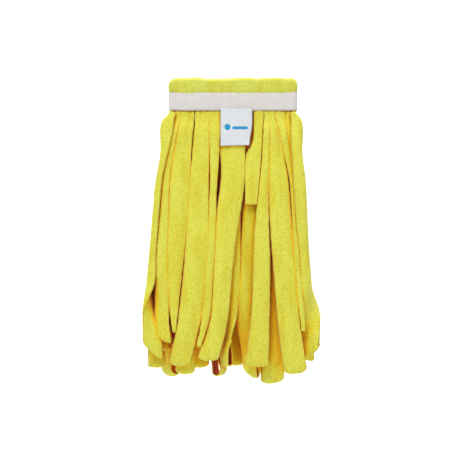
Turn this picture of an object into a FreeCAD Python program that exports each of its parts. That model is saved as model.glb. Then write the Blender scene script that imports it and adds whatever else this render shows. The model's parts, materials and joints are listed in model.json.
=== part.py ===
import FreeCAD, Part
import os
import Sketcher

# Hanging strip mop head, in millimetres. The origin is the middle of the sewn headband, +Z is up,
# and the labelled front faces -Y. Heights of the strips are given as drops, millimetres below the origin.

Vector = FreeCAD.Vector
Rotation = FreeCAD.Rotation

# Local Y of a piece turned this way points down, and its local Z points to the back (+Y).
DOWNWARD = Rotation(Vector(1, 0, 0), -90)

# ---------------------------------------------------------------------------------------------
# Driving dimensions

BAND = {
    "band_half_height": 11.5,
    "band_half_length": 80.5,
    "tape_half_depth": 10.4,
    "tape_wall": 1.0,
    "cuff_wall": 1.1,
    "cuff_top": 30.4,
    "cuff_fold": 7.0,
    "cuff_corner": 6.0,
    "stitch_length": 3.2,
    "stitch_pitch": 4.6,
    "stitch_width": 0.7,
    "stitch_groove": 0.5,
    "stitch_row_height": 8.6,
    "stitch_row_half": 74.0,
    "stitch_count": 32,
    "label_left": -15.8,
    "label_right": 24.2,
    "label_top": 8.9,
    "label_hem_drop": 11.4,
    "label_hinge_drop": 12.2,
    "label_foot_drop": 55.5,
    "label_hinge_depth": 10.9,
    "label_foot_depth": 13.95,
    "label_thickness": 0.6,
    "label_hem_thickness": 0.7,
    "head_foot_drop": 11.0,
    "head_top": 22.9,
    "leg_thickness": 2.2,
    "side_leg_thickness": 1.4,
}

# Drops shared by all the strips. Each strip adds its own top, where it bends below the band, and its
# own foot, where it folds back up.
STATIONS = {"knee": 95.0, "waist": 190.0, "shin": 270.0}

# A strip bends right below the band. One that lies over another strip rides on it, and bends lower and
# a little further out, so that it stays below the band when the strip under it swings.
TOP_DROPS = {"inner": 14.0, "outer": 14.0, "riding": 18.3, "side": 14.0, "side_riding": 19.3}

# Depth of each row of strips at the top, knee, waist, shin and foot: (near, far) from the mid plane.
ROWS = {
    "inner": [(0.25, 4.05), (1.0, 9.0), (1.5, 13.0), (1.5, 15.0), (1.5, 12.0)],
    "outer": [(4.4, 8.2), (10.2, 17.5), (14.5, 24.0), (17.0, 27.5), (18.5, 27.5)],
    "riding": [(4.75, 8.55), (10.2, 17.5), (14.5, 24.0), (17.0, 27.5), (18.5, 27.5)],
}

# Loops that swing forwards or backwards: side of the band, row, foot drop, and the left and right
# edge at each station down to the foot.
LOOPS = {
    "inner_loop_1": ("front", "inner", 305.0,
                     [(-69.3, -50), (-84, -61.5), (-93, -72.5), (-94, -76), (-93, -77)]),
    "inner_loop_2": ("front", "inner", 334.0,
                     [(-47, -22), (-52.5, -33), (-60, -45), (-67.5, -47), (-70, -47)]),
    "inner_loop_3": ("front", "inner", 324.0,
                     [(-13, 4), (-12, 10), (-9, 9.5), (-10, 6.5), (-10, 4)]),
    "inner_loop_4": ("front", "inner", 336.0,
                     [(5, 30), (12, 36), (11.5, 33), (8.7, 30), (11, 30)]),
    "inner_loop_5": ("front", "inner", 345.5,
                     [(53, 69), (47, 70), (47, 70), (45.5, 68), (46.5, 66)]),
    "front_loop_1": ("front", "riding", 292.0,
                     [(-69.5, -66), (-85, -79.5), (-94, -82.5), (-95, -77), (-95, -74)]),
    "front_loop_2": ("front", "riding", 282.0,
                     [(-65, -49), (-78.5, -54), (-81.5, -62), (-75.6, -69.2), (-73.6, -70.3)]),
    "front_loop_3": ("front", "riding", 322.5,
                     [(-46, -30), (-50.5, -29), (-58, -31.5), (-66, -38.5), (-76, -51)]),
    "front_loop_4": ("front", "riding", 300.0,
                     [(-29, -17), (-28, -20), (-30.5, -22.5), (-37.5, -29.5), (-44, -40)]),
    "front_loop_5": ("front", "outer", 316.5,
                     [(-15.5, 13), (-18.5, 13), (-21.3, 1.5), (-27.5, -7), (-43, -18)]),
    "front_loop_6": ("front", "riding", 323.5,
                     [(39.5, 45), (34.5, 43), (26, 45.5), (22, 43.5), (16, 43.5)]),
    "front_loop_7": ("front", "riding", 332.5,
                     [(46, 51), (44.8, 69.5), (48, 76), (54.5, 81), (64, 91)]),
    "front_loop_8": ("front", "riding", 280.0,
                     [(52, 69.5), (70.6, 74.6), (77.3, 82.2), (83.9, 87.4)]),
    "back_inner_loop_1": ("back", "inner", 300.0,
                          [(-65, -41), (-71.5, -47.5), (-76, -52), (-79, -55), (-80, -57)]),
    "back_inner_loop_2": ("back", "inner", 336.0,
                          [(-38, -14), (-38, -14), (-40.5, -16), (-40, -15), (-36, -12)]),
    "back_inner_loop_3": ("back", "inner", 322.0,
                          [(14, 38), (15, 39), (15, 39), (15.5, 39), (17, 40.5)]),
    "back_inner_loop_4": ("back", "inner", 306.0,
                          [(41, 64), (42.5, 67.5), (43, 69), (42.5, 68.5), (43, 69)]),
    "back_loop_1": ("back", "riding", 336.0,
                    [(-66.3, -41.8), (-78.5, -53.5), (-88.5, -63.5), (-93, -68), (-96.5, -71.5)]),
    "back_loop_2": ("back", "riding", 330.0,
                    [(-39.3, -14.8), (-46, -21), (-50.5, -25.5), (-53.5, -28.5), (-55.5, -30.5)]),
    "back_loop_3": ("back", "outer", 327.0,
                    [(-12.3, 12.3), (-11.5, 13.5), (-10.5, 14.5), (-10.5, 14.5), (-11, 14)]),
    "back_loop_4": ("back", "riding", 338.0,
                    [(14.8, 39.3), (16.5, 41.5), (17, 42), (16.5, 41.5), (17, 42)]),
    "back_loop_5": ("back", "riding", 326.0,
                    [(41.8, 66.3), (49, 74), (57.5, 82.5), (62, 87), (66, 91)]),
}

# Edge-on loops at the ends of the band, which swing sideways: row, foot drop, left and right edge and
# front and back edge at each station down to the foot.
SIDE_LOOPS = {
    "left_inner_loop": ("side", 328.0,
                        [(-73.9, -70.1), (-90.6, -86.2), (-99.6, -95.2), (-104, -96.8), (-106, -98.5)],
                        [(-8.2, 8.2), (-8, 16), (-8, 18), (-8, 18), (-8, 18)]),
    "left_outer_loop": ("side_riding", 308.0,
                        [(-79.1, -75.3), (-95.6, -91.6), (-104.5, -100.6), (-113, -105), (-114.8, -107.2)],
                        [(-8.2, 8.2), (-17, 6), (-20, 5), (-21, 4), (-20, 4)]),
    "right_inner_loop": ("side", 320.0,
                         [(70.1, 73.9), (75.8, 80.5), (83.5, 88), (88, 92.5), (92.5, 97.5)],
                         [(-8.2, 8.2), (-8, 16), (-8, 18), (-8, 18), (-8, 18)]),
    "right_outer_loop": ("side_riding", 312.0,
                         [(74.8, 78.6), (81.5, 91), (89, 95), (93.8, 102.5), (98.5, 106.5)],
                         [(-8.2, 8.2), (-17, 6), (-20, 5), (-21, 4), (-20, 4)]),
}

# The one loose end: a short single strip, gathered beside the label and square below it. Each row
# is its drop, left and right edge, and front and back edge.
TAIL = [
    (18.3, 25.5, 38.5, -8.55, -4.75),
    (57.5, 25.5, 35.8, -12.9, -8.9),
    (58.5, 15.0, 35.8, -13.1, -9.1),
    (95.0, 15.0, 33.0, -17.0, -13.4),
    (129.0, 15.0, 29.5, -19.0, -16.6),
]

# The strips' heads are gathered and sewn inside the band, one row behind the other: left and right edge
# of each head, and front and back edge of each row.
HEAD_ROWS = {
    "strip_heads_front_outer": (-8.2, -4.4, [(-69.5, -66), (-65, -49), (-46, -30), (-29, -17), (-15.5, 13),
                                             (25.5, 38.5), (39.5, 45), (46, 51), (52, 69.5)]),
    "strip_heads_front_inner": (-4.05, -0.25, [(-69.3, -50), (-47, -22), (-13, 4), (5, 30), (53, 69)]),
    "strip_heads_back_inner": (0.25, 4.05, [(-65, -41), (-38, -14), (14, 38), (41, 64)]),
    "strip_heads_back_outer": (4.4, 8.2, [(-66.3, -41.8), (-39.3, -14.8), (-12.3, 12.3), (14.8, 39.3),
                                          (41.8, 66.3)]),
    "strip_heads_side": (-8.2, 8.2, [(-78.2, -74.4), (-73.9, -70.1), (70.1, 73.9), (74.4, 78.2)]),
}

doc = FreeCAD.newDocument("strip_mop_head")
sheet = doc.addObject("Spreadsheet::Sheet", "dims")
node_objects = []
next_row = [1]


def put(alias, value):
    """Write one plain number into the sheet and give its cell a name."""
    name_cell = "A%d" % next_row[0]
    value_cell = "B%d" % next_row[0]
    sheet.set(name_cell, alias)
    sheet.set(value_cell, str(value))
    sheet.setAlias(value_cell, alias)
    next_row[0] += 1


def put_loop(name, row, foot, edges, depths):
    """Write one loop's top and foot drop and its edges at every station."""
    put(name + "_top_drop", TOP_DROPS[row])
    put(name + "_foot_drop", foot)
    for i, ((left, right), (front, back)) in enumerate(zip(edges, depths)):
        put("%s_left_%d" % (name, i), left)
        put("%s_right_%d" % (name, i), right)
        put("%s_front_%d" % (name, i), front)
        put("%s_back_%d" % (name, i), back)


def row_depths(side, row, count):
    """Front and back edge of a row at each station; the foot's own depth is always the last."""
    stations = ROWS[row][:count - 1] + [ROWS[row][-1]]
    if side == "front":
        return [(-far, -near) for near, far in stations]
    return stations


for alias, value in BAND.items():
    put(alias, value)
for alias, value in STATIONS.items():
    put("drop_" + alias, value)
for name, (side, row, foot, edges) in LOOPS.items():
    put_loop(name, row, foot, edges, row_depths(side, row, len(edges)))
for name, (row, foot, edges, depths) in SIDE_LOOPS.items():
    put_loop(name, row, foot, edges, depths)
for i, row_values in enumerate(TAIL):
    for key, value in zip(("drop", "left", "right", "front", "back"), row_values):
        put("tail_%s_%d" % (key, i), value)
for name, (front, back, heads) in HEAD_ROWS.items():
    put(name + "_front", front)
    put(name + "_back", back)
    for i, (left, right) in enumerate(heads):
        put("%s_left_%d" % (name, i), left)
        put("%s_right_%d" % (name, i), right)
doc.recompute()


def bind(obj, **expressions):
    """Bind properties to the sheet. Two underscores stand for a dot in a property's path."""
    for path, expression in expressions.items():
        obj.setExpression(path.replace("__", "."), expression)
    return obj


def keep(obj, label):
    """Mark an object as one of the mop's pieces. Its label names its file."""
    obj.Label = label
    node_objects.append(obj)
    return obj


def fuse(name, pieces):
    joined = doc.addObject("Part::MultiFuse", name)
    joined.Shapes = pieces
    return joined


def compound(name, pieces):
    group = doc.addObject("Part::Compound", name)
    group.Links = pieces
    return group


# ---------------------------------------------------------------------------------------------
# Strips

# A round end as facets: share of the half thickness left, at this many half thicknesses past the end.
ROUNDING = [(1.0, 0.0), (0.8, 0.58), (0.4, 0.9)]


def segment(name, drops, upper, lower):
    """A straight stretch of strip: a wedge between two level sections.

    Each section is four expressions: left, right, front and back edge.
    """
    wedge = doc.addObject("Part::Wedge", name)
    wedge.Placement = FreeCAD.Placement(Vector(0, 0, 0), DOWNWARD)
    return bind(
        wedge,
        Ymin=drops[0], Ymax=drops[1],
        Xmin=upper[0], Xmax=upper[1], Zmin=upper[2], Zmax=upper[3],
        X2min=lower[0], X2max=lower[1], Z2min=lower[2], Z2max=lower[3],
    )


def slimmed(section, sideways, share):
    """The same section with its thickness shrunk about its middle to a share of what it was."""
    left, right, front, back = section
    low, high = (left, right) if sideways else (front, back)
    middle = "(%s + %s) / 2" % (low, high)
    half = "(%s - %s) / 2" % (high, low)
    pair = ["%s - %g * %s" % (middle, share, half), "%s + %g * %s" % (middle, share, half)]
    return pair + [front, back] if sideways else [left, right] + pair


def fold(name, section, drop, sideways, upward=False):
    """The soft end of a strip: facets that round its thickness off, inside a half circle."""
    left, right, front, back = section
    half = "((%s) - (%s)) / 2" % ((right, left) if sideways else (back, front))
    facets = []
    for i in range(len(ROUNDING) - 1):
        (near_share, near_rise), (far_share, far_rise) = ROUNDING[i], ROUNDING[i + 1]
        near = slimmed(section, sideways, near_share)
        far = slimmed(section, sideways, far_share)
        sign = "-" if upward else "+"
        near_drop = "%s %s %g * %s" % (drop, sign, near_rise, half)
        far_drop = "%s %s %g * %s" % (drop, sign, far_rise, half)
        label = "%s_%d" % (name, i)
        if upward:
            facets.append(segment(label, (far_drop, near_drop), far, near))
        else:
            facets.append(segment(label, (near_drop, far_drop), near, far))
    return facets


def section_of(name, station):
    return ["dims.%s_%s_%d" % (name, key, station) for key in ("left", "right", "front", "back")]


def widened(section, sideways):
    """The same section, reaching past both edges of the strip, so that a gap cuts right through."""
    left, right, front, back = section
    if sideways:
        return [left, right, "(%s - 1)" % front, "(%s + 1)" % back]
    return ["(%s - 1)" % left, "(%s + 1)" % right, front, back]


def gap_section(section, sideways, leg):
    """The space between a loop's two legs at one section."""
    left, right, front, back = widened(section, sideways)
    if sideways:
        return ["(%s + %s)" % (left, leg), "(%s - %s)" % (right, leg), front, back]
    return [left, right, "(%s + %s)" % (front, leg), "(%s - %s)" % (back, leg)]


def closed_section(section, sideways):
    """The two legs meet here: the gap has closed to a thin line."""
    left, right, front, back = widened(section, sideways)
    if sideways:
        middle = "(%s + %s) / 2" % (left, right)
        return [middle + " - 0.1", middle + " + 0.1", front, back]
    middle = "(%s + %s) / 2" % (front, back)
    return [left, right, middle + " - 0.1", middle + " + 0.1"]


def make_loop(name, count, sideways=False, leg="dims.leg_thickness"):
    """A strip that hangs from the band, folds at its foot and runs back up to the band."""
    drops = ["dims.%s_top_drop" % name]
    drops += ["dims.drop_" + station for station in STATIONS][:count - 2]
    drops.append("dims.%s_foot_drop" % name)
    sections = [section_of(name, i) for i in range(count)]
    solid = fold(name + "_head_fold", sections[0], drops[0], sideways, upward=True)
    gap = []
    for i in range(count - 1):
        ends = (drops[i], drops[i + 1])
        solid.append(segment("%s_run_%d" % (name, i), ends, sections[i], sections[i + 1]))
        if i == 0:
            continue
        lower = gap_section(sections[i + 1], sideways, leg)
        upper = gap_section(sections[i], sideways, leg)
        if i == 1:
            upper = closed_section(sections[i], sideways)
        gap.append(segment("%s_gap_%d" % (name, i), ends, upper, lower))
    solid += fold(name + "_foot_fold", sections[-1], drops[-1], sideways)
    space = gap_section(sections[-1], sideways, leg)
    gap += fold(name + "_foot_gap", space, drops[-1], sideways)
    loop = doc.addObject("Part::Cut", name)
    loop.Base = fuse(name + "_solid", solid)
    loop.Tool = fuse(name + "_space", gap)
    return keep(loop, name)


def make_tail():
    """The one cut end: a single strip with a square end."""
    rows = range(len(TAIL))
    sections = [["dims.tail_%s_%d" % (key, i) for key in ("left", "right", "front", "back")] for i in rows]
    drops = ["dims.tail_drop_%d" % i for i in rows]
    pieces = fold("tail_head_fold", sections[0], drops[0], False, upward=True)
    for i in rows[:-1]:
        ends = (drops[i], drops[i + 1])
        pieces.append(segment("tail_run_%d" % i, ends, sections[i], sections[i + 1]))
    return keep(fuse("loose_tail_body", pieces), "loose_tail")


for name, (side, row, foot, edges) in LOOPS.items():
    make_loop(name, len(edges))
for name, (row, foot, edges, depths) in SIDE_LOOPS.items():
    make_loop(name, len(edges), sideways=True, leg="dims.side_leg_thickness")
make_tail()


# ---------------------------------------------------------------------------------------------
# Sewn-in heads of the strips, stacked in rows inside the band

def head_block(row, i):
    """One strip's gathered head."""
    block = doc.addObject("Part::Box", "%s_%d" % (row, i))
    return bind(
        block,
        Length="dims.%s_right_%d - dims.%s_left_%d" % (row, i, row, i),
        Width="dims.%s_back - dims.%s_front" % (row, row),
        Height="dims.head_top + dims.head_foot_drop",
        Placement__Base__x="dims.%s_left_%d" % (row, i),
        Placement__Base__y="dims.%s_front" % row,
        Placement__Base__z="-dims.head_foot_drop",
    )


for row, (front, back, heads) in HEAD_ROWS.items():
    keep(compound(row + "_group", [head_block(row, i) for i in range(len(heads))]), row)


# ---------------------------------------------------------------------------------------------
# Headband: cuff, tape and stitches

def new_body(label):
    body = doc.addObject("PartDesign::Body", label + "_body")
    return keep(body, label)


def origin_feature(body, role):
    for feature in body.Origin.OriginFeatures:
        if feature.Role == role:
            return feature
    raise ValueError("no origin feature " + role)


def new_sketch(body, name, role="XY_Plane"):
    sketch = body.newObject("Sketcher::SketchObject", name)
    sketch.AttachmentSupport = [(origin_feature(body, role), "")]
    sketch.MapMode = "FlatFace"
    return sketch


def rectangle(sketch, tag, left, right, low, high):
    """A rectangle whose four distances from the sketch's axes are bound to the sheet."""
    # Starting points keep the same signs as the bound distances, so the sketch cannot flip.
    guess = {}
    for key, expression in (("left", left), ("right", right), ("low", low), ("high", high)):
        guess[key] = float(doc.dims.evalExpression(expression.replace("dims.", "")))
    corners = [
        Vector(guess["left"], guess["low"], 0),
        Vector(guess["right"], guess["low"], 0),
        Vector(guess["right"], guess["high"], 0),
        Vector(guess["left"], guess["high"], 0),
    ]
    first = sketch.GeometryCount
    for i in range(4):
        sketch.addGeometry(Part.LineSegment(corners[i], corners[(i + 1) % 4]), False)
    for i in range(4):
        sketch.addConstraint(Sketcher.Constraint("Coincident", first + i, 2, first + (i + 1) % 4, 1))
    for i in (0, 2):
        sketch.addConstraint(Sketcher.Constraint("Horizontal", first + i))
        sketch.addConstraint(Sketcher.Constraint("Vertical", first + i + 1))
    places = (
        ("left", "DistanceX", first + 3, left),
        ("right", "DistanceX", first + 1, right),
        ("low", "DistanceY", first, low),
        ("high", "DistanceY", first + 2, high),
    )
    for key, kind, edge, expression in places:
        index = sketch.addConstraint(Sketcher.Constraint(kind, -1, 1, edge, 1, guess[key]))
        label = "%s_%s" % (tag, key)
        sketch.renameConstraint(index, label)
        sketch.setExpression("Constraints." + label, expression)


def top_runs(shape, height):
    """The long edges that run along the top of a shape."""
    runs = []
    for i, edge in enumerate(shape.Edges):
        box = edge.BoundBox
        if box.ZMin > height - 1 and box.XLength > 50:
            runs.append("Edge%d" % (i + 1))
    return runs


def make_cuff():
    """A cloth cap over the strips' heads: a soft-cornered pillow shell, open below."""
    body = new_body("cuff")
    profile = new_sketch(body, "cuff_profile", "XZ_Plane")
    half = "dims.band_half_length - dims.tape_wall"
    rectangle(profile, "cuff", "-(%s)" % half, half, "-dims.band_half_height", "dims.cuff_top")
    pad = body.newObject("PartDesign::Pad", "cuff_pad")
    pad.Profile = profile
    pad.Midplane = True
    bind(pad, Length="2 * (dims.tape_half_depth - dims.tape_wall)")
    doc.recompute()
    end_edges = []
    for i, edge in enumerate(pad.Shape.Edges):
        box = edge.BoundBox
        if box.ZMin > BAND["cuff_top"] - 1 and box.YLength > box.XLength:
            end_edges.append("Edge%d" % (i + 1))
    corners = body.newObject("PartDesign::Fillet", "cuff_corners")
    corners.Base = (pad, end_edges)
    bind(corners, Radius="dims.cuff_corner")
    doc.recompute()
    long_edges = top_runs(corners.Shape, BAND["cuff_top"])
    folded = body.newObject("PartDesign::Fillet", "cuff_folded")
    folded.Base = (corners, long_edges)
    bind(folded, Radius="dims.cuff_fold")
    hollow = new_sketch(body, "cuff_hollow", "XY_Plane")
    inner_half = half + " - dims.cuff_wall"
    inner_depth = "dims.tape_half_depth - dims.tape_wall - dims.cuff_wall"
    rectangle(hollow, "hollow", "-(%s)" % inner_half, inner_half, "-(%s)" % inner_depth, inner_depth)
    bind(hollow, AttachmentOffset__Base__z="-dims.band_half_height")
    pocket = body.newObject("PartDesign::Pocket", "cuff_pocket")
    pocket.Profile = hollow
    pocket.Reversed = True
    bind(pocket, Length="dims.cuff_top + dims.band_half_height - dims.cuff_fold")
    doc.recompute()
    body.Tip = pocket


def make_tape():
    """The woven tape wrapped round the cuff, with a groove for each row of stitches."""
    body = new_body("headband_tape")
    ring = new_sketch(body, "tape_ring", "XY_Plane")
    rectangle(ring, "outer", "-dims.band_half_length", "dims.band_half_length",
              "-dims.tape_half_depth", "dims.tape_half_depth")
    pad = body.newObject("PartDesign::Pad", "tape_pad")
    pad.Profile = ring
    pad.Midplane = True
    bind(pad, Length="2 * dims.band_half_height")
    hole = new_sketch(body, "tape_hole", "XY_Plane")
    rectangle(hole, "inner", "-(dims.band_half_length - dims.tape_wall)",
              "dims.band_half_length - dims.tape_wall",
              "-(dims.tape_half_depth - dims.tape_wall)", "dims.tape_half_depth - dims.tape_wall")
    pocket = body.newObject("PartDesign::Pocket", "tape_pocket")
    pocket.Profile = hole
    pocket.Type = "ThroughAll"
    pocket.Midplane = True
    doc.recompute()
    body.Tip = pocket
    for face, sign in (("front", "-"), ("back", "")):
        for level, offset in (("lower", "-dims.stitch_row_height"), ("upper", "dims.stitch_row_height")):
            groove = new_sketch(body, "groove_%s_%s" % (face, level), "XZ_Plane")
            rectangle(groove, "groove", "-dims.stitch_row_half", "dims.stitch_row_half",
                      offset + " - dims.stitch_width / 2", offset + " + dims.stitch_width / 2")
            cut = body.newObject("PartDesign::Pocket", "cut_%s_%s" % (face, level))
            cut.Profile = groove
            cut.Type = "Length"
            cut.Reversed = face == "back"
            bind(groove, AttachmentOffset__Base__z="%s(dims.tape_half_depth)"
                 % ("" if face == "front" else "-"))
            bind(cut, Length="dims.stitch_groove")
            doc.recompute()
            body.Tip = cut
    return body, pocket


def make_stitches(face, level):
    """One row of lock stitches sunk in its groove: a short dash, repeated along the tape."""
    label = "stitches_%s_%s" % (face, level)
    body = new_body(label)
    sketch = new_sketch(body, label + "_dash", "XZ_Plane")
    offset = "dims.stitch_row_height" if level == "upper" else "-dims.stitch_row_height"
    rectangle(sketch, "dash", "-dims.stitch_row_half + 0.1", "-dims.stitch_row_half + dims.stitch_length",
              offset + " - dims.stitch_width / 2 + 0.1", offset + " + dims.stitch_width / 2 - 0.1")
    bind(sketch, AttachmentOffset__Base__z="%s(dims.tape_half_depth - dims.stitch_groove)"
         % ("" if face == "front" else "-"))
    pad = body.newObject("PartDesign::Pad", label + "_pad")
    pad.Profile = sketch
    pad.Reversed = face == "back"
    bind(pad, Length="dims.stitch_groove - 0.05")
    pattern = body.newObject("PartDesign::LinearPattern", label + "_row")
    pattern.Originals = [pad]
    pattern.Direction = (origin_feature(body, "X_Axis"), [""])
    bind(pattern, Length="dims.stitch_pitch * (dims.stitch_count - 1)", Occurrences="dims.stitch_count")
    body.Tip = pattern


make_cuff()
tape, tape_pocket = make_tape()
for face in ("front", "back"):
    for level in ("upper", "lower"):
        make_stitches(face, level)


# ---------------------------------------------------------------------------------------------
# Label: a hem sewn on the tape, and a flap that hangs from it

def make_label():
    hem = doc.addObject("Part::Box", "label_hem_box")
    bind(
        hem,
        Length="dims.label_right - dims.label_left",
        Width="dims.label_hem_thickness",
        Height="dims.label_hem_drop - dims.label_top",
        Placement__Base__x="dims.label_left",
        Placement__Base__y="-dims.tape_half_depth - dims.label_hem_thickness",
        Placement__Base__z="-dims.label_hem_drop",
    )
    keep(hem, "label_hem")
    edges = ["dims.label_left", "dims.label_right"]
    faces = [
        "(-dims.label_%s_depth - dims.label_thickness / 2)",
        "(-dims.label_%s_depth + dims.label_thickness / 2)",
    ]
    upper = edges + [face % "hinge" for face in faces]
    lower = edges + [face % "foot" for face in faces]
    drops = ("dims.label_hinge_drop", "dims.label_foot_drop")
    pieces = fold("label_bend", upper, drops[0], False, upward=True)
    pieces.append(segment("label_sheet", drops, upper, lower))
    keep(fuse("label_flap_body", pieces), "label_flap")


make_label()
doc.recompute()

# ---------------------------------------------------------------------------------------------
# Test every object, then write one STEP file for each piece

for obj in doc.Objects:
    if "Invalid" in obj.State or "Error" in obj.State:
        raise RuntimeError("%s failed: %s" % (obj.Name, obj.State))
for obj in node_objects:
    if obj.Shape.isNull() or not obj.Shape.isValid():
        raise RuntimeError(obj.Label + " has no valid shape")

groove_volume = tape_pocket.Shape.Volume - tape.Shape.Volume
if groove_volume <= 0:
    raise RuntimeError("the stitch grooves cut nothing")

os.makedirs("parts", exist_ok=True)
for obj in node_objects:
    obj.Shape.exportStep("parts/%s.step" % obj.Label)
    box = obj.Shape.BoundBox
    print("%-26s %2d solids %9.1f mm3  x %.1f..%.1f y %.1f..%.1f z %.1f..%.1f" % (
        obj.Label, len(obj.Shape.Solids), obj.Shape.Volume,
        box.XMin, box.XMax, box.YMin, box.YMax, box.ZMin, box.ZMax))
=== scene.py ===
import json
import math

import bpy
import numpy as np
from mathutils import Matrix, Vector, noise

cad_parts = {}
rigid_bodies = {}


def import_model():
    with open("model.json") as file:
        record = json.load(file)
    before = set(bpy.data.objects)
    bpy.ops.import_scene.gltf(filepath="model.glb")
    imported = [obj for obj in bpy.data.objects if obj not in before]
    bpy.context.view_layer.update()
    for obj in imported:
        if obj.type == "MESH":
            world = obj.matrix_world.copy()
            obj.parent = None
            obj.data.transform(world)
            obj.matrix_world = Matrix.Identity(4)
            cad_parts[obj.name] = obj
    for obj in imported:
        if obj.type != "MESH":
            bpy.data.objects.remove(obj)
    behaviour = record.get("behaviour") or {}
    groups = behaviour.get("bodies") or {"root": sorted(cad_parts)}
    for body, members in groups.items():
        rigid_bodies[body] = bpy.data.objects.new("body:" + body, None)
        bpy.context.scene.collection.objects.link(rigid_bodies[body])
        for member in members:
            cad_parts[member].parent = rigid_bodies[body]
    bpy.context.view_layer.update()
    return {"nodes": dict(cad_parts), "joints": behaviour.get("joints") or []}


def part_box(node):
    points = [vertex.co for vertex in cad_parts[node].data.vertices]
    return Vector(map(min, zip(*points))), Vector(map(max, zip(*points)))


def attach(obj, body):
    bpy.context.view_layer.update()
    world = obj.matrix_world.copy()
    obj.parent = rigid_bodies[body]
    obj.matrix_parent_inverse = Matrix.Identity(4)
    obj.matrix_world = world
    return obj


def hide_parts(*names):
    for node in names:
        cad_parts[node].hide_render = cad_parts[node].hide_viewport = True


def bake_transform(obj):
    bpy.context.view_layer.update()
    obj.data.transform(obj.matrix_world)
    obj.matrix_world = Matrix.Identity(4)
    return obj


# A hanging strip mop head: looped strips of brushed microfibre in a taped headband with a cloth cuff.
# Everything is in metres. +Z is up and the labelled front faces -Y.

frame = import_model()
MM = 0.001

# ---------------------------------------------------------------------------------------------
# Camera, floor and light

VIEW_CENTRE = Vector((-0.00375, 0.0, -0.1596))
VIEW_DISTANCE = 1.62
VIEW_HEIGHT = 0.575
FLOOR_Z = -0.52


def look_at(obj, target):
    """Turn a camera or a light towards a point."""
    obj.rotation_euler = (Vector(target) - obj.location).to_track_quat("-Z", "Y").to_euler()


def make_camera():
    """A long lens straight in front of the mop head."""
    data = bpy.data.cameras.new("camera")
    data.sensor_width = 36.0
    data.lens = data.sensor_width * VIEW_DISTANCE / VIEW_HEIGHT
    data.clip_end = 20.0
    camera = bpy.data.objects.new("camera", data)
    camera.location = VIEW_CENTRE + Vector((0.0, -VIEW_DISTANCE, 0.0))
    look_at(camera, VIEW_CENTRE)
    bpy.context.scene.collection.objects.link(camera)
    bpy.context.scene.camera = camera


def area_light(name, place, target, size, energy):
    """A round soft lamp that points at a target."""
    data = bpy.data.lights.new(name, "AREA")
    data.shape = "DISK"
    data.size = size
    data.energy = energy
    light = bpy.data.objects.new(name, data)
    light.location = place
    look_at(light, target)
    bpy.context.scene.collection.objects.link(light)


def make_studio():
    """A plain pale floor that curves up into a backdrop, and soft light from above and in front."""
    half_width = 5.0
    front = -4.0
    back = 2.2
    radius = 1.0
    backdrop_height = 6.0
    profile = [(front, FLOOR_Z), (back - radius, FLOOR_Z)]
    steps = 16
    for i in range(1, steps + 1):
        angle = math.pi / 2 * i / steps
        y = back - radius + radius * math.sin(angle)
        profile.append((y, FLOOR_Z + radius * (1 - math.cos(angle))))
    profile.append((back, FLOOR_Z + backdrop_height))
    points = []
    for y, z in profile:
        points += [(-half_width, y, z), (half_width, y, z)]
    faces = [(2 * i, 2 * i + 1, 2 * i + 3, 2 * i + 2) for i in range(len(profile) - 1)]
    floor = new_mesh("floor", points, faces)
    material = bpy.data.materials.new("floor_paper")
    material.use_nodes = True
    shader = material.node_tree.nodes["Principled BSDF"]
    shader.inputs["Base Color"].default_value = (0.66, 0.66, 0.66, 1.0)
    shader.inputs["Roughness"].default_value = 0.9
    floor.data.materials.append(material)
    area_light("key", (-0.5, -1.3, 1.45), VIEW_CENTRE, 0.6, 17.5)
    area_light("fill", (1.2, -1.5, 0.2), VIEW_CENTRE, 1.6, 2.0)
    area_light("top", (0.0, -0.3, 1.5), VIEW_CENTRE, 1.2, 6.0)
    area_light("backdrop_wash", (0.0, 1.0, 1.6), (0.0, 2.2, -0.1), 2.0, 75.0)
    world = bpy.data.worlds.new("studio")
    world.use_nodes = True
    background = world.node_tree.nodes["Background"]
    background.inputs["Color"].default_value = (1.0, 1.0, 1.0, 1.0)
    background.inputs["Strength"].default_value = 0.71
    bpy.context.scene.world = world
    bpy.context.scene.view_settings.view_transform = "Standard"


# ---------------------------------------------------------------------------------------------
# Mesh helpers

def new_mesh(name, points, faces):
    """A smooth-shaded mesh object in the scene."""
    data = bpy.data.meshes.new(name)
    data.from_pydata([tuple(p) for p in points], [], faces)
    data.validate()
    data.update()
    data.polygons.foreach_set("use_smooth", [True] * len(data.polygons))
    obj = bpy.data.objects.new(name, data)
    bpy.context.scene.collection.objects.link(obj)
    return obj


def store_rest(obj):
    """Keep each point's place at rest, so that the cloth's texture stays on the cloth as it moves."""
    count = len(obj.data.vertices)
    places = np.zeros(count * 3, np.float32)
    obj.data.vertices.foreach_get("co", places)
    attribute = obj.data.attributes.new("rest_place", "FLOAT_VECTOR", "POINT")
    attribute.data.foreach_set("vector", places)


def smooth_step(value, low, high):
    """A soft rise from 0 at low to 1 at high."""
    t = np.clip((value - low) / (high - low), 0.0, 1.0)
    return t * t * (3 - 2 * t)


def ring_faces(rings, size, closed_path=False):
    """Quads between successive rings of points."""
    faces = []
    last = rings if closed_path else rings - 1
    for i in range(last):
        a = i * size
        b = ((i + 1) % rings) * size
        for j in range(size):
            k = (j + 1) % size
            faces.append((a + j, a + k, b + k, b + j))
    return faces


def pucker(point, scale, seed):
    """Smooth noise between about -1 and 1, with features of the given scale."""
    return noise.noise(Vector(point) / scale + Vector((seed * 7.31, seed * 3.17, seed * 1.73)))


# ---------------------------------------------------------------------------------------------
# Materials

def noise_node(tree, place, scale, detail=2.0, roughness=0.5):
    node = tree.nodes.new("ShaderNodeTexNoise")
    node.inputs["Scale"].default_value = scale
    node.inputs["Detail"].default_value = detail
    node.inputs["Roughness"].default_value = roughness
    tree.links.new(place, node.inputs["Vector"])
    return node


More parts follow.
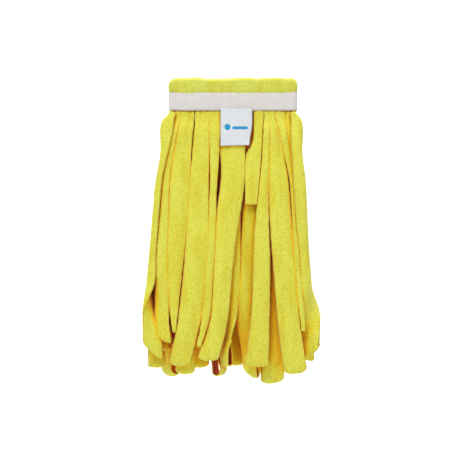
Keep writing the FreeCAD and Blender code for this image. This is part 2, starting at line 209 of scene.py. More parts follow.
def colour_ramp(tree, value, stops):
    node = tree.nodes.new("ShaderNodeValToRGB")
    ramp = node.color_ramp
    while len(ramp.elements) < len(stops):
        ramp.elements.new(0.5)
    for element, (position, colour) in zip(ramp.elements, stops):
        element.position = position
        element.color = (*colour, 1.0)
    tree.links.new(value, node.inputs["Fac"])
    return node


def mix_colour(tree, kind, factor, first, second):
    node = tree.nodes.new("ShaderNodeMix")
    node.data_type = "RGBA"
    node.blend_type = kind
    if isinstance(factor, float):
        node.inputs["Factor"].default_value = factor
    else:
        tree.links.new(factor, node.inputs["Factor"])
    for socket, value in ((node.inputs["A"], first), (node.inputs["B"], second)):
        if isinstance(value, tuple):
            socket.default_value = (*value, 1.0)
        else:
            tree.links.new(value, socket)
    return node.outputs["Result"]


def rest_vector(tree):
    """Each point's place at rest, for a texture that stays on the cloth."""
    node = tree.nodes.new("ShaderNodeAttribute")
    node.attribute_name = "rest_place"
    return node.outputs["Vector"]


# Reach of the painted shade in folds and gaps, and the paler fuzz along cut edges, which is partly a painted
# highlight.
FOLD_SHADE_REACH = 34 * MM
EDGE_FUZZ_AND_HIGHLIGHT = (0.80, 0.78, 0.12)


def brushed_cloth(name, lit, shade, painted_warm_shade, painted_deep_shade, painted_darkest_shade, pile=1.0):
    """Brushed microfibre: a short mottled pile. Its colour carries painted shade, warmer and darker in folds
    and gaps the more closed in a point is, and paler edges that are partly a painted highlight.
    """
    material = bpy.data.materials.new(name)
    material.use_nodes = True
    tree = material.node_tree
    shader = tree.nodes["Principled BSDF"]
    place = rest_vector(tree)
    # Painted shade: by ambient occlusion the colour runs from the lit yellow on open faces through warm
    # orange to dark red deep in folds, gaps and loops.
    occlusion = tree.nodes.new("ShaderNodeAmbientOcclusion")
    occlusion.samples = 8
    occlusion.inputs["Distance"].default_value = FOLD_SHADE_REACH
    painted_fold_shade = colour_ramp(tree, occlusion.outputs["AO"], [
        (0.06, painted_darkest_shade), (0.2, painted_deep_shade), (0.4, painted_warm_shade), (0.62, shade), (0.9, lit)])
    mottle = noise_node(tree, place, 520.0, 3.0, 0.65)
    mottle_tint = colour_ramp(tree, mottle.outputs["Fac"], [
        (0.3, (0.80, 0.78, 0.62)), (0.52, (1.0, 1.0, 1.0)), (0.75, (1.1, 1.1, 1.3))])
    body = mix_colour(tree, "MULTIPLY", 1.0, painted_fold_shade.outputs["Color"], mottle_tint.outputs["Color"])
    # Long streaks of random tone down the strip, warmer and darker at their low end, which also stand in as
    # painted shade of soft folds.
    stretch = tree.nodes.new("ShaderNodeMapping")
    stretch.inputs["Scale"].default_value = (1.0, 1.0, 0.2)
    tree.links.new(place, stretch.inputs["Vector"])
    cloud = noise_node(tree, stretch.outputs["Vector"], 105.0, 2.0, 0.5)
    cloud_tint = colour_ramp(tree, cloud.outputs["Fac"], [
        (0.3, (0.97, 0.88, 0.62)), (0.52, (1.0, 1.0, 1.0)), (0.75, (1.04, 1.05, 1.2))])
    tinted = mix_colour(tree, "MULTIPLY", 1.0, body, cloud_tint.outputs["Color"])
    # Paler colour along the cut edges: fuzzier pile there, and partly a painted highlight where the rounded
    # edges catch the light.
    hem = tree.nodes.new("ShaderNodeAttribute")
    hem.attribute_name = "hem"
    edge_fuzz_highlight_share = colour_ramp(tree, hem.outputs["Fac"], [
        (0.92, (0.0, 0.0, 0.0)), (1.0, (0.14, 0.14, 0.14))])
    edge_fuzz_and_highlight = mix_colour(tree, "MIX", edge_fuzz_highlight_share.outputs["Color"], tinted, EDGE_FUZZ_AND_HIGHLIGHT)
    tree.links.new(edge_fuzz_and_highlight, shader.inputs["Base Color"])
    shader.inputs["Roughness"].default_value = 0.92
    shader.inputs["Specular IOR Level"].default_value = 0.15
    shader.inputs["Sheen Weight"].default_value = 0.25
    shader.inputs["Sheen Roughness"].default_value = 0.55
    shader.inputs["Sheen Tint"].default_value = (0.95, 0.93, 0.55, 1.0)
    fibres = noise_node(tree, place, 1100.0, 3.0, 0.7)
    bump = tree.nodes.new("ShaderNodeBump")
    bump.inputs["Strength"].default_value = 0.55 * pile
    bump.inputs["Distance"].default_value = 0.6 * MM
    tree.links.new(fibres.outputs["Fac"], bump.inputs["Height"])
    tree.links.new(bump.outputs["Normal"], shader.inputs["Normal"])
    return material


def math_node(tree, operation, first, second=0.0):
    """The output of a maths node; each value is a number or another node's output."""
    node = tree.nodes.new("ShaderNodeMath")
    node.operation = operation
    for socket, value in zip(node.inputs, (first, second)):
        if isinstance(value, float):
            socket.default_value = value
        else:
            tree.links.new(value, socket)
    return node.outputs[0]


def printed_mark(tree, place, shapes):
    """A mask for simple printed shapes, each (middle x, middle z, half width, half height, squareness)."""
    split = tree.nodes.new("ShaderNodeSeparateXYZ")
    tree.links.new(place, split.inputs["Vector"])
    mask = None
    for x, z, half_x, half_z, squareness in shapes:
        total = None
        for output, middle, half in ((split.outputs["X"], x, half_x), (split.outputs["Z"], z, half_z)):
            share = math_node(tree, "DIVIDE", math_node(tree, "SUBTRACT", output, middle), half)
            term = math_node(tree, "POWER", math_node(tree, "ABSOLUTE", share), squareness)
            total = term if total is None else math_node(tree, "ADD", total, term)
        inside = math_node(tree, "LESS_THAN", total, 1.0)
        mask = inside if mask is None else math_node(tree, "MAXIMUM", mask, inside)
    return mask


def woven_cloth(name, base, pale, thread, strength, mark=(), ink=(0.0, 0.0, 0.0)):
    """A plain weave: threads crossing over and under each other, with slightly uneven yarn."""
    material = bpy.data.materials.new(name)
    material.use_nodes = True
    tree = material.node_tree
    shader = tree.nodes["Principled BSDF"]
    place = rest_vector(tree)
    heights = []
    for direction in ("X", "Z"):
        wave = tree.nodes.new("ShaderNodeTexWave")
        wave.wave_type = "BANDS"
        wave.bands_direction = direction
        wave.inputs["Scale"].default_value = 1.0 / (math.pi * thread)
        wave.inputs["Distortion"].default_value = 0.6
        wave.inputs["Detail"].default_value = 1.0
        tree.links.new(place, wave.inputs["Vector"])
        heights.append(wave.outputs["Fac"])
    weave = math_node(tree, "MULTIPLY", *heights)
    yarn = colour_ramp(tree, weave, [(0.0, base), (0.6, pale)])
    cloud = noise_node(tree, place, 90.0, 3.0, 0.6)
    cloud_tint = colour_ramp(tree, cloud.outputs["Fac"], [
        (0.3, (0.94, 0.93, 0.92)), (0.7, (1.03, 1.03, 1.03))])
    tinted = mix_colour(tree, "MULTIPLY", 1.0, yarn.outputs["Color"], cloud_tint.outputs["Color"])
    if mark:
        tinted = mix_colour(tree, "MIX", printed_mark(tree, place, mark), tinted, ink)
    tree.links.new(tinted, shader.inputs["Base Color"])
    shader.inputs["Roughness"].default_value = 0.85
    shader.inputs["Specular IOR Level"].default_value = 0.2
    bump = tree.nodes.new("ShaderNodeBump")
    bump.inputs["Strength"].default_value = strength
    bump.inputs["Distance"].default_value = 0.3 * MM
    tree.links.new(weave, bump.inputs["Height"])
    tree.links.new(bump.outputs["Normal"], shader.inputs["Normal"])
    return material


def plain_thread(name, colour):
    """Twisted sewing thread in one colour."""
    material = bpy.data.materials.new(name)
    material.use_nodes = True
    tree = material.node_tree
    shader = tree.nodes["Principled BSDF"]
    place = rest_vector(tree)
    twist = noise_node(tree, place, 1500.0, 2.0, 0.6)
    tint = colour_ramp(tree, twist.outputs["Fac"], [
        (0.35, tuple(0.82 * c for c in colour)), (0.65, colour)])
    tree.links.new(tint.outputs["Color"], shader.inputs["Base Color"])
    shader.inputs["Roughness"].default_value = 0.6
    return material


# ---------------------------------------------------------------------------------------------
# The CAD model's own sizes

PARENT = {joint["child"]: joint["parent"] for joint in frame["joints"]}
BAND_LOW, BAND_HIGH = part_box("headband_tape")
STRIP_THICKNESS = 1.7 * MM
CUT_WIDTH = 26 * MM
NARROWEST = 6.5 * MM
# A level cut is made this little below a height, so that it never runs through a mesh's own corners.
PROBE = 0.001 * MM
# A strip's cloth is this much wider on each side than its solid, which closes the space to its neighbours.
SPREAD = 1.6 * MM
# Radius of a cut edge that is turned back, share of its depth that a loop keeps between its two legs above
# its foot, and the height over which a foot turns, drifts or leans.
HEM_RADIUS = 2.2 * MM
LEG_PINCH = 0.75
TURN_REACH = 100 * MM
# Rows along a strip are a step apart. Each row has the same number of points on both sides of its middle.
STEP = 3.0 * MM
HALF_COUNT = 9
# Seeds of the cloth's small puckers; the strips have the seeds 1 to 26.
TAIL_SEED = 91
CUFF_SEED = 17
TAPE_SEED = 23
LABEL_SEED = 31

# Local axes of a strip by the side it hangs on: across the strip, and outwards from the bundle.
SIDES = {
    "front": (Vector((1, 0, 0)), Vector((0, -1, 0))),
    "back": (Vector((1, 0, 0)), Vector((0, 1, 0))),
    "left": (Vector((0, 1, 0)), Vector((-1, 0, 0))),
    "right": (Vector((0, 1, 0)), Vector((1, 0, 0))),
}


def slice_node(node, heights):
    """The node's box at each height: lowest and highest X and Y where a level plane cuts its mesh."""
    data = frame["nodes"][node].data
    co = np.array([v.co for v in data.vertices])
    edges = np.array([e.vertices for e in data.edges])
    a = co[edges[:, 0]]
    b = co[edges[:, 1]]
    rows = []
    for z in heights:
        crossing = (a[:, 2] - z) * (b[:, 2] - z) < 0
        pa = a[crossing]
        pb = b[crossing]
        t = ((z - pa[:, 2]) / (pb[:, 2] - pa[:, 2]))[:, None]
        cut = pa + (pb - pa) * t
        rows.append((cut[:, 0].min(), cut[:, 0].max(), cut[:, 1].min(), cut[:, 1].max()))
    return np.array(rows)


def soften(values, width):
    """Round off the kinks of a line of values, keeping its two ends."""
    reach = int(3 * width)
    if reach < 1:
        return values
    first = 2 * values[0] - values[reach:0:-1]
    last = 2 * values[-1] - values[-2:-reach - 2:-1]
    padded = np.concatenate([first, values, last])
    taps = np.exp(-0.5 * (np.arange(-reach, reach + 1) / width) ** 2)
    return np.convolve(padded, taps / taps.sum(), "valid")


class Route:
    """Where a strip's solid runs: across (low, high) and depth (near, far) against height, top first."""

    def __init__(self, node, side):
        low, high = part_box(node)
        self.side = side
        probe_z = low.z + 8 * MM
        depth = self.turned(slice_node(node, [probe_z]))[0]
        self.fold_radius = (depth[3] - depth[2]) / 2
        self.foot_z = low.z + 0.9 * self.fold_radius
        top_z = high.z - 2.0 * MM
        count = max(8, int((top_z - self.foot_z) / STEP))
        self.z = np.linspace(top_z, self.foot_z, count)
        rows = self.turned(slice_node(node, self.z - PROBE))
        self.rows = np.array([soften(rows[:, i], 4.0) for i in range(4)]).T

    def turned(self, rows):
        """X and Y limits as across (low, high) and outward depth (near, far)."""
        if self.side in ("front", "back"):
            low, high, first, second = rows.T
        else:
            first, second, low, high = rows.T
        outward = SIDES[self.side][1]
        sign = outward.x + outward.y
        near, far = (first, second) if sign > 0 else (-second, -first)
        return np.array([low, high, near, far]).T


def fold_profile(half, back, radius, count, sign):
    """Points from the middle of a strip to one edge: flat, then turned back by some length.

    Each point is (across, inward); sign is -1 for the low edge and 1 for the high edge.
    """
    radius = min(radius, 0.7 * half)
    turn = math.acos(max(1 - back / radius, 0.0)) if back < radius else math.pi / 2
    flat = half - radius * math.sin(turn)
    arc = radius * turn
    straight = max(back - radius, 0.0)
    total = flat + arc + straight
    points = []
    for i in range(count):
        s = total * (i + 1) / count
        if s <= flat:
            points.append((sign * s, 0.0))
        elif s <= flat + arc:
            angle = (s - flat) / radius
            points.append((sign * (flat + radius * math.sin(angle)), radius * (1 - math.cos(angle))))
        else:
            rise = radius * (1 - math.cos(turn)) + s - flat - arc
            points.append((sign * (flat + radius * math.sin(turn)), rise))
    return points, total


def cloth_ring(points, normals, thickness):
    """Outer and inner face of one row of cloth as a closed ring with rounded edges."""
    count = len(points)
    u = np.linspace(-1.0, 1.0, count)
    half = (thickness / 2 * np.sqrt(np.clip(1 - np.abs(u) ** 5, 0, 1)))[:, None]
    outer = points + normals * half
    inner = points - normals * half
    return np.concatenate([outer, inner[-2:0:-1]])


def cloth_body(name, grid, thickness, rough, seed, closed=False):
    """A closed shell of cloth around a grid of points: rows along the strip, columns across it."""
    along = np.gradient(grid, axis=0)
    across = np.gradient(grid, axis=1)
    normals = np.cross(across, along)
    normals /= np.linalg.norm(normals, axis=2)[:, :, None] + 1e-12
    rings = []
    for row, normal in zip(grid, normals):
        rings.append(cloth_ring(row, normal, thickness))
    size = len(rings[0])
    points = np.concatenate(rings)
    faces = ring_faces(len(rings), size, closed)
    if not closed:
        faces.append(tuple(range(size - 1, -1, -1)))
        last = (len(rings) - 1) * size
        faces.append(tuple(last + j for j in range(size)))
    obj = new_mesh(name, points, faces)
    columns = grid.shape[1]
    u = np.abs(np.linspace(-1.0, 1.0, columns))
    hem = np.concatenate([u, u[-2:0:-1]])
    attribute = obj.data.attributes.new("hem", "FLOAT", "POINT")
    attribute.data.foreach_set("value", np.tile(hem, len(rings)).astype(np.float32))
    count = len(obj.data.vertices)
    place = np.zeros(count * 3)
    obj.data.vertices.foreach_get("co", place)
    place = place.reshape(-1, 3)
    direction = np.array([v.normal for v in obj.data.vertices])
    shift = np.array([
        rough * (0.55 * pucker(p, 9 * MM, seed) + 0.45 * pucker(p, 3.2 * MM, seed + 5)) for p in place])
    place += direction * shift[:, None]
    obj.data.vertices.foreach_set("co", place.ravel())
    obj.data.update()
    store_rest(obj)
    return obj


OUTERMOST = {"left": ("front_loop_1", "inner_loop_1"), "right": ("front_loop_8", "front_loop_7")}


def front_reach(side, heights):
    """How far out the front row's outermost strips reach on one side, at each height."""
    reach = np.zeros(len(heights))
    sign = -1 if side == "left" else 1
    for node in OUTERMOST[side]:
        low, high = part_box(node)
        z = np.clip(heights, low.z + 2 * MM, high.z - 1 * MM)
        rows = slice_node(node, z - PROBE)
        edge = -rows[:, 0] if sign < 0 else rows[:, 1]
        reach = np.maximum(reach, edge * (heights > low.z))
    return reach


def strip_row(side, centre, width, depth, height, facing, crown, backs=(0.0, 0.0), pleat=0.0, pleats=(),
              lean=0.0):
    """One row of points across a strip, and the cloth's width along it.

    facing is the row's normal as outward and downward shares. backs are the lengths turned back at the two
    edges, and pleats are places across the strip, from -1 to 1, where it dips by the depth of a pleat.
    """
    across, outward = SIDES[side]
    half = width / 2 - STRIP_THICKNESS / 2
    low_side, low_length = fold_profile(half, backs[0], HEM_RADIUS, HALF_COUNT, -1)
    high_side, high_length = fold_profile(half, backs[1], HEM_RADIUS, HALF_COUNT, 1)
    normal = outward * facing[0] + Vector((0, 0, -facing[1]))
    row = []
    for offset, inward in low_side[::-1] + [(0.0, 0.0)] + high_side:
        u = offset / (width / 2)
        lift = lean * offset - crown * u * u - inward
        lift -= pleat * sum(math.exp(-((u - place) / 0.16) ** 2) for place in pleats)
        row.append(across * (centre + offset) + outward * depth + Vector((0, 0, height)) + normal * lift)
    return row, low_length + high_length + STRIP_THICKNESS


def leg_depths(near, far, drop, to_foot, eye):
    """Depths of a loop's outer and inner leg. An eye opens the loop at its foot and closes it above."""
    t = STRIP_THICKNESS
    squeeze = 1 - (1 - LEG_PINCH) * smooth_step(to_foot, 0.0, 22 * MM) * smooth_step(drop, 70 * MM, 140 * MM)
    outer = far - t / 2
    inner = np.minimum(far - np.maximum(far - near - t, t + 0.05 * MM) * squeeze - t / 2, outer - t)
    if eye:
        closed = t / 2 + 0.1 * MM
        drop_shape = np.sqrt(np.clip(1 - (to_foot / (30 * MM)) ** 2, 0.0, 1.0)) ** 1.5
        half = closed + (eye - closed) * drop_shape
        half += np.maximum((outer - inner) / 2 - closed, 0.0) * smooth_step(to_foot, 30 * MM, 90 * MM)
        middle_line = (outer + inner) / 2
        outer = middle_line + half
        inner = middle_line - half
    return outer, inner


def hang_foot(grid, side, foot_z, centre, middle, twist, slant, drift):
    """Turn a foot about the strip's own middle, move it, and let it hang lower on one side."""
    across, outward = [np.array(axis) for axis in SIDES[side]]
    share = smooth_step(-grid[:, :, 2], -(foot_z + TURN_REACH), -(foot_z + 4 * MM))
    angle = math.radians(twist) * share
    x = grid @ across - centre
    y = grid @ outward - middle
    turned_x = x * np.cos(angle) - y * np.sin(angle)
    turned_y = x * np.sin(angle) + y * np.cos(angle)
    grid = grid + (turned_x - x + drift[0] * share)[:, :, None] * across
    grid = grid + (turned_y - y + drift[1] * share)[:, :, None] * outward
    grid[:, :, 2] -= slant * x * share
    return grid


def make_strip(name, side, seed, twist=0.0, slant=0.0, bulge=0.0, bulge_drop=26 * MM, bulge_reach=26 * MM,
               bulge_start=(9 * MM, 20 * MM), lip=0.0, eye=0.0, drift=(0.0, 0.0), foot_width=None, nips=(),
               bows=(), corner=3.0 * MM):
    """One looped strip: down from the band, round its foot and back up into the band."""
    rng = np.random.default_rng(seed)
    route = Route(name, side)
    t = STRIP_THICKNESS

    # Above its top the strip runs straight up into the band.
    head_top = BAND_LOW.z + (0.6 * MM if PARENT[name] != "root" else 7.0 * MM)
    head_z = np.arange(head_top, route.z[0], -STEP)
    heads = np.repeat([route.rows[0]], len(head_z), axis=0)
    z = np.concatenate([head_z, route.z])
    low, high, near, far = np.concatenate([heads, route.rows]).T
    drop = BAND_LOW.z - z
    to_foot = z - z[-1]
    if bulge:
        swell = bulge * np.exp(-((drop - bulge_drop) / bulge_reach) ** 2) * smooth_step(drop, *bulge_start)
        far = far + swell
        near = near + 0.8 * swell

    # The edges wander, are a little ragged, and are pulled in or let out by nips.
    wave = 0.9 * MM * np.sin(drop / (34 * MM) + rng.uniform(0, 6.28)) * smooth_step(drop, 5 * MM, 60 * MM)
    ragged = np.array([[0.45 * MM * pucker((0, k, h), 6 * MM, seed) for h in z] for k in (0, 1)])
    low = low - SPREAD + ragged[0]
    high = high + SPREAD + ragged[1]
    width = np.maximum(high - low, NARROWEST)
    centre = (high + low) / 2 + wave
    for edge, place, reach, amount in nips:
        bite = amount * np.exp(-((drop - place) / reach) ** 2)
        width = width - bite
        centre = centre - edge * bite / 2
    for place, reach, amount in bows:
        centre = centre + amount * np.exp(-((drop - place) / reach) ** 2)
    if foot_width:
        width = width + (foot_width - width) * smooth_step(-to_foot, -90 * MM, -25 * MM)

    outer, inner = leg_depths(near, far, drop, to_foot, eye)
    room = np.clip(outer - inner - t - 0.4 * MM, 0.0, None)
    crown = 2.4 * MM * smooth_step(drop, 0.0, 30 * MM) * np.clip(width / (20 * MM), 0.2, 1.2)
    crown = np.minimum(crown, room + 0.6 * MM)
    # Pleats run down from the gathered band and die out; the face also leans a little to either side.
    pleats = rng.uniform(-0.55, 0.55, 2)
    pleat = 1.1 * MM * (1 - smooth_step(drop, 20 * MM, 130 * MM)) * smooth_step(width, 12 * MM, 20 * MM)
    lean = 0.06 * np.sin(drop / (48 * MM) + rng.uniform(0, 6.28)) * smooth_step(drop, 4 * MM, 40 * MM)
    fade = smooth_step(to_foot, 2 * MM, 40 * MM)
    spare = np.clip((CUT_WIDTH - width) / 2, 0.0, None)

    # A side strip's front edge turns inwards, to meet the front row.
    lips = np.zeros(len(z))
    if lip:
        gap = outer - t / 2 - front_reach(side, z) - 1.0 * MM
        lips = soften(np.clip(gap, 0.0, lip), 1.0) * smooth_step(drop, -1.5 * MM, 1.5 * MM)
        lips = lips * smooth_step(to_foot, 20 * MM, TURN_REACH)
        low = low - 0.3 * lips
        width = high - low
        centre = (high + low) / 2 + wave

    rows = []
    for i in range(len(z)):
        backs = [min(spare[i], room[i]) * fade[i]] * 2
        backs[0] = max(backs[0], lips[i])
        rows.append(strip_row(side, centre[i], width[i], outer[i], z[i], (1.0, 0.0), crown[i], backs,
                              pleat[i], pleats, lean[i]))
    radius = (outer[-1] - inner[-1]) / 2
    middle = (outer[-1] + inner[-1]) / 2
    steps = max(7, int(math.pi * radius / (2.2 * MM)))
    for i in range(1, steps):
        angle = math.pi * i / steps
        facing = (math.cos(angle), math.sin(angle))
        rows.append(strip_row(side, centre[-1], width[-1], middle + radius * facing[0],
                              z[-1] - radius * facing[1], facing, crown[-1] * (1 - i / steps)))
    for i in range(len(z) - 1, -1, -1):
        w = max(width[i] - 1.0 * MM - 2 * t * (spare[i] > 1 * MM) * fade[i], NARROWEST)
        rows.append(strip_row(side, centre[i], w, inner[i], z[i], (-1.0, 0.0), 0.0))
    grid = np.array([points for points, row_width in rows])

    # The corners of the foot are rounded, and the foot may hang turned.
    u = np.abs(np.linspace(-1.0, 1.0, 2 * HALF_COUNT + 1))
    near_foot = smooth_step(-grid[:, :, 2], -(z[-1] + 30 * MM), -z[-1])
    grid[:, :, 2] += corner * u ** 4 * near_foot
    if twist or slant or drift[0] or drift[1]:
        grid = hang_foot(grid, side, z[-1], centre[-1], middle, twist, slant, drift)

    strip = cloth_body(name + "_cloth", grid, t, 0.55 * MM, seed)
    strip.data.materials.append(STRIP_CLOTH)
    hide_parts(name)
    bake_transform(strip)


# The outer strips puff out just below the tape.
PUFF = {"bulge": 3.5 * MM, "bulge_reach": 16 * MM}

# Which side each strip hangs on, and its shape where that differs from make_strip's own. A nip is an edge
# (-1 low, 1 high) pulled in by an amount around a drop below the band, over a reach; a bow moves the middle.
STRIPS = {
    "inner_loop_1": ("front", {}),
    "inner_loop_2": ("front", {}),
    "inner_loop_3": ("front", {"twist": 66, "eye": 5 * MM, "drift": (-5 * MM, 2 * MM), "foot_width": 24 * MM,
                               "corner": 0.8 * MM}),
    "inner_loop_4": ("front", {"twist": 30, "eye": 4.5 * MM, "slant": 0.6, "drift": (2 * MM, 0),
                               "bows": [(265 * MM, 38 * MM, -7 * MM)]}),
    "inner_loop_5": ("front", {"drift": (-8 * MM, 0), "slant": -0.1, "foot_width": 31 * MM}),
    "front_loop_1": ("front", dict(PUFF, twist=22, slant=0.5, drift=(-1 * MM, -2 * MM),
                                   nips=[(-1, 60 * MM, 100 * MM, -2.6 * MM)])),
    "front_loop_2": ("front", dict(PUFF, nips=[(1, 140 * MM, 130 * MM, -0.8 * MM)])),
    "front_loop_3": ("front", dict(PUFF, slant=-0.05, nips=[(-1, 150 * MM, 120 * MM, -2.2 * MM)])),
    "front_loop_4": ("front", dict(PUFF, nips=[(1, 100 * MM, 40 * MM, 1.8 * MM),
                                               (1, 20 * MM, 35 * MM, -1.8 * MM)])),
    "front_loop_5": ("front", {"nips": [(-1, 84 * MM, 28 * MM, 3.2 * MM),
                                        (1, 90 * MM, 60 * MM, -1.8 * MM)]}),
    "front_loop_6": ("front", dict(PUFF, slant=0.03, corner=0.6 * MM)),
    "front_loop_7": ("front", dict(PUFF, slant=-0.08)),
    "front_loop_8": ("front", dict(PUFF, corner=0.6 * MM, nips=[(1, 30 * MM, 60 * MM, -2 * MM)])),
    "back_inner_loop_1": ("back", {}),
    "back_inner_loop_2": ("back", {"corner": 0.8 * MM, "twist": 70, "eye": 6.5 * MM,
                                   "drift": (5 * MM, 2 * MM)}),
    "back_inner_loop_3": ("back", {}),
    "back_inner_loop_4": ("back", {}),
    "back_loop_1": ("back", dict(PUFF, twist=-58, eye=8 * MM, drift=(7 * MM, -4 * MM))),
    "back_loop_2": ("back", dict(PUFF)),
    "back_loop_3": ("back", dict(PUFF, slant=0.1)),
    "back_loop_4": ("back", dict(PUFF)),
    "back_loop_5": ("back", dict(PUFF)),
    "left_inner_loop": ("left", {"twist": -78, "drift": (-6 * MM, -7 * MM), "foot_width": 24 * MM,
                                 "corner": 0.6 * MM}),
    "left_outer_loop": ("left", {"bulge": 9 * MM, "bulge_drop": 18 * MM, "bulge_start": (1 * MM, 13 * MM),
                                 "lip": 16 * MM, "twist": -72, "drift": (-14 * MM, -12 * MM),
                                 "slant": 0.8, "foot_width": 28 * MM}),
    "right_inner_loop": ("right", {"twist": 60, "drift": (-8 * MM, -2 * MM), "foot_width": 22 * MM,
                                   "slant": 0.3}),
    "right_outer_loop": ("right", {"bulge": 7 * MM, "bulge_drop": 16 * MM, "bulge_start": (1 * MM, 11 * MM),
                                   "lip": 16 * MM, "twist": 115, "eye": 4 * MM, "drift": (-6 * MM, -8 * MM),
                                   "slant": -0.7, "foot_width": 25 * MM}),
}


def make_tail():
    """The one cut end: a single strip with a square end."""
    name = "loose_tail"
    route = Route(name, "front")
    low_corner, high_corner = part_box(name)
    across, outward = SIDES["front"]
    z = np.linspace(high_corner.z - 2 * MM, low_corner.z + 0.6 * MM, 40)
    rows = route.turned(slice_node(name, z - PROBE))
    sides = [soften(rows[:, i], 2.5) for i in range(4)]
    head_z = np.arange(BAND_LOW.z + 3 * MM, z[0], -STEP)
    z = np.concatenate([head_z, z])
    low, high, near, far = [np.concatenate([np.repeat(v[0], len(head_z)), v]) for v in sides]
    grid = []
    for i in range(len(z)):
        width = high[i] - low[i]
        centre = (high[i] + low[i]) / 2
        row = []
        for k in range(-HALF_COUNT, HALF_COUNT + 1):
            u = k / HALF_COUNT
            lift = 0.9 * MM * (1 - u * u) - 1.2 * MM
            row.append(across * (centre + u * width / 2) + outward * (far[i] + lift) + Vector((0, 0, z[i])))
        grid.append(row)
    grid = np.array(grid)
    tail = cloth_body("loose_tail_cloth", grid, STRIP_THICKNESS, 0.5 * MM, TAIL_SEED)
    tail.data.materials.append(STRIP_CLOTH)
    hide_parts(name)
    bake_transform(tail)


# ---------------------------------------------------------------------------------------------
# Headband

# Rises and dips of the cuff's top fold: place along it, reach, height.
CUFF_LUMPS = [
    (-55 * MM, 16 * MM, 0.8 * MM),
    (57 * MM, 12 * MM, 0.8 * MM),
    (-4 * MM, 10 * MM, -1.0 * MM),
    (34 * MM, 2.5 * MM, -0.7 * MM),
]


def make_cuff():
    """The cloth cap over the strips' heads: folded over at the top, soft and a little lumpy."""
    low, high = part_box("cuff")
    half_x = high.x + 0.4 * MM
    half_y = high.y
    bottom = BAND_LOW.z + 3 * MM
    top = high.z
    columns = 90
    arc = 16
    walls = 9
    grid = []
    for i in range(columns + 1):
        x = -half_x + 2 * half_x * i / columns
        end_left = np.clip((x + half_x) / (11 * MM), 0, 1)
        end_right = np.clip((half_x - x) / (6 * MM), 0, 1)
        end = math.sqrt(max(1 - (1 - end_left) ** 2, 0)) * math.sqrt(max(1 - (1 - end_right) ** 2, 0))
        lumps = 1.1 * MM * pucker((x, 0, 0), 26 * MM, 2) + 0.5 * MM * pucker((x, 0, 0), 9 * MM, 4)
        for place, reach, rise in CUFF_LUMPS:
            lumps += rise * math.exp(-((x - place) / reach) ** 2)
        height = top - 1.2 * MM + lumps - (1 - end) * 8 * MM
        depth = half_y * (0.8 + 0.2 * end)
        shoulder = height - 7 * MM
        wall = [(-depth, bottom + (shoulder - bottom) * j / walls) for j in range(walls)]
        fold = []
        for j in range(arc + 1):
            a = math.pi * j / arc
            y = -depth * math.copysign(abs(math.cos(a)) ** 0.7, math.cos(a))
            fold.append((y, shoulder + (height - shoulder) * max(math.sin(a), 0.0) ** 0.8))
        # Where the tape lies over it, the cuff is tucked in.
        tucked_depth = (half_y - 1.7 * MM) * (0.45 + 0.55 * end)
        row = []
        for y, z in wall + fold + [(-y, z) for y, z in reversed(wall)]:
            tuck = 1 - smooth_step(z, BAND_HIGH.z - 2.0 * MM, BAND_HIGH.z + 1.5 * MM)
            row.append((x * (1 - 0.03 * tuck), y * (1 + (tucked_depth / depth - 1) * tuck), z))
        grid.append(row)
    cuff = cloth_body("cuff_cloth_cap", np.array(grid), 1.6 * MM, 0.8 * MM, CUFF_SEED)
    cuff.data.materials.append(CUFF_CLOTH)
    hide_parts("cuff")
    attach(cuff, "root")


def make_tape():
    """The woven tape round the band, pulled snug, its end lapped at the front right."""
    half_x = BAND_HIGH.x
    half_y = BAND_HIGH.y
    corner = 7 * MM
    outline = []
    for cx, cy, start in ((1, -1, -90), (1, 1, 0), (-1, 1, 90), (-1, -1, 180)):
        for k in range(9):
            a = math.radians(start + 90 * k / 8)
            x = cx * (half_x - corner) + corner * math.cos(a)
            y = cy * (half_y - corner) + corner * math.sin(a)
            outline.append((x, y))
    dense = []
    for (x0, y0), (x1, y1) in zip(outline, outline[1:] + outline[:1]):
        count = max(1, int(math.hypot(x1 - x0, y1 - y0) / (2.5 * MM)))
        for k in range(count):
            dense.append((x0 + (x1 - x0) * k / count, y0 + (y1 - y0) * k / count))
    rows = 13
    grid = []
    for x, y in dense:
        if abs(x) > half_x - corner:
            outward = Vector((x, y, 0)).normalized()
        else:
            outward = Vector((0, math.copysign(1, y), 0))
        row = []
        for j in range(rows):
            u = -1 + 2 * j / (rows - 1)
            z = u * BAND_HIGH.z
            z += 0.5 * MM * pucker((x, y, 0), 30 * MM, 8)
            if u > 0:
                z += 1.6 * MM * u * smooth_step(x, 60 * MM, 80 * MM) * (y < 0)
            inset = 0.55 * MM + 0.6 * MM * abs(u) ** 6 - 0.45 * MM * pucker((x, y, z), 16 * MM, 3)
            row.append(Vector((x, y, z)) - outward * inset)
        grid.append(row)
    grid = np.array(grid)
    tape = cloth_body("headband_tape_cloth", grid, 0.8 * MM, 0.12 * MM, TAPE_SEED, closed=True)
    tape.data.materials.append(TAPE_CLOTH)
    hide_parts("headband_tape")
    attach(tape, "root")


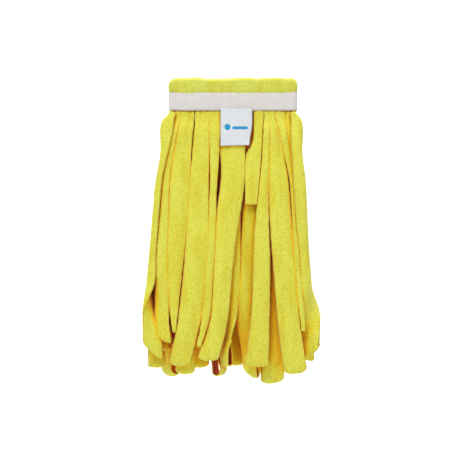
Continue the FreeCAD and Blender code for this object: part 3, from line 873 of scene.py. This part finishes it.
def make_label():
    """A soft white label: sewn along its top on the tape, hanging free below, one corner curling."""
    hem_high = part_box("label_hem")[1]
    flap_low, flap_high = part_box("label_flap")
    rows = 34
    columns = 25
    grid = []
    for i in range(rows + 1):
        v = i / rows
        z = hem_high.z + 0.2 * MM + (flap_low.z - hem_high.z) * v
        row = []
        for j in range(columns + 1):
            u = j / columns
            taper = 3.6 * MM * smooth_step(v, 0.35, 1.0)
            x = flap_low.x + (flap_high.x - flap_low.x - taper) * u
            sewn = 1 - smooth_step(v, 0.05, 0.2)
            hanging_y = flap_high.y + (flap_low.y - flap_high.y) * v
            y = -(BAND_HIGH.y + 0.35 * MM) * sewn + hanging_y * (1 - sewn)
            y = min(y, -(BAND_HIGH.y + 0.3 * MM))
            y -= 0.6 * MM * math.sin(math.pi * u) * smooth_step(v, 0.2, 1.0)
            y -= 2.6 * MM * smooth_step(u, 0.72, 1.0) * smooth_step(v, 0.72, 1.0)
            seam = 0.5 * MM * math.sin(u * 19) + 0.3 * MM * math.sin(u * 41)
            seam *= 1 - smooth_step(v, 0.0, 0.08)
            row.append((x, y, z + seam + 0.8 * MM * u * v))
        grid.append(row)
    label = cloth_body("label_cloth_sheet", np.array(grid), 0.7 * MM, 0.15 * MM, LABEL_SEED)
    label.data.materials.append(LABEL_CLOTH)
    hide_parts("label_hem", "label_flap")
    y = -11 * MM
    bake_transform(label)


def make_stitches():
    """Lock stitches pressed into the tape in the same rows and places as the CAD stitches."""
    for place in ("front_upper", "front_lower", "back_upper", "back_lower"):
        name = "stitches_" + place
        low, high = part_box(name)
        source = frame["nodes"][name].data
        co = np.array([v.co for v in source.vertices])
        starts = np.unique(np.round(co[:, 0], 5))
        middle_z = (low.z + high.z) / 2
        face = -1 if "front" in place else 1
        y = face * (BAND_HIGH.y - 0.30 * MM)
        rings = 9
        around = 8
        points = []
        faces = []
        for left, right in zip(starts[0::2], starts[1::2]):
            base = len(points)
            for i in range(rings):
                u = i / (rings - 1)
                x = left + (right - left) * u
                bow = math.sin(math.pi * u)
                radius = 0.32 * MM * (0.45 + 0.55 * bow ** 0.5)
                for k in range(around):
                    a = 2 * math.pi * k / around
                    points.append((x, y + face * 0.25 * MM * (bow - 0.6) + radius * math.cos(a),
                                   middle_z + radius * math.sin(a)))
            faces += [tuple(base + v for v in f) for f in ring_faces(rings, around)]
            faces.append(tuple(base + k for k in range(around - 1, -1, -1)))
            faces.append(tuple(base + (rings - 1) * around + k for k in range(around)))
        row = new_mesh(name + "_thread", points, faces)
        store_rest(row)
        row.data.materials.append(THREAD)
        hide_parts(name)
        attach(row, "root")


make_camera()
make_studio()
# Strip and cuff colours: lit, then painted shade, painted warm shade, painted deep shade and painted darkest
# shade for ever more closed-in places.
STRIP_CLOTH = brushed_cloth("strip_microfibre", (0.675, 0.66, 0.073), (0.82, 0.62, 0.01), (0.95, 0.44, 0.0),
                            (0.76, 0.08, 0.012), (0.45, 0.01, 0.015))
CUFF_CLOTH = brushed_cloth("cuff_microfibre", (0.60, 0.613, 0.09), (0.62, 0.54, 0.03), (0.62, 0.35, 0.0),
                           (0.5, 0.12, 0.01), (0.3, 0.02, 0.01), 0.7)
TAPE_CLOTH = woven_cloth("woven_tape_cotton", (0.63, 0.61, 0.575), (0.77, 0.755, 0.73), 0.7 * MM, 0.5)
LABEL_LOW, LABEL_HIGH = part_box("label_flap")
LABEL_MARK = [
    (LABEL_LOW.x + 9.0 * MM, LABEL_HIGH.z - 20.0 * MM, 3.7 * MM, 4.0 * MM, 2.0),
    (LABEL_LOW.x + 24.5 * MM, LABEL_HIGH.z - 21.0 * MM, 9.5 * MM, 1.9 * MM, 8.0),
]
LABEL_CLOTH = woven_cloth("label_satin", (0.63, 0.66, 0.68), (0.70, 0.73, 0.75), 0.35 * MM, 0.2,
                          LABEL_MARK, (0.02, 0.28, 0.55))
THREAD = plain_thread("sewing_thread", (0.78, 0.76, 0.71))

for seed, (name, (side, options)) in enumerate(STRIPS.items()):
    make_strip(name, side, seed + 1, **options)
make_tail()
make_cuff()
make_tape()
make_label()
make_stitches()

for name in ("strip_heads_front_outer", "strip_heads_front_inner", "strip_heads_back_inner",
             "strip_heads_back_outer", "strip_heads_side"):
    node = frame["nodes"][name]
    store_rest(node)
    node.data.materials.clear()
    node.data.materials.append(STRIP_CLOTH)
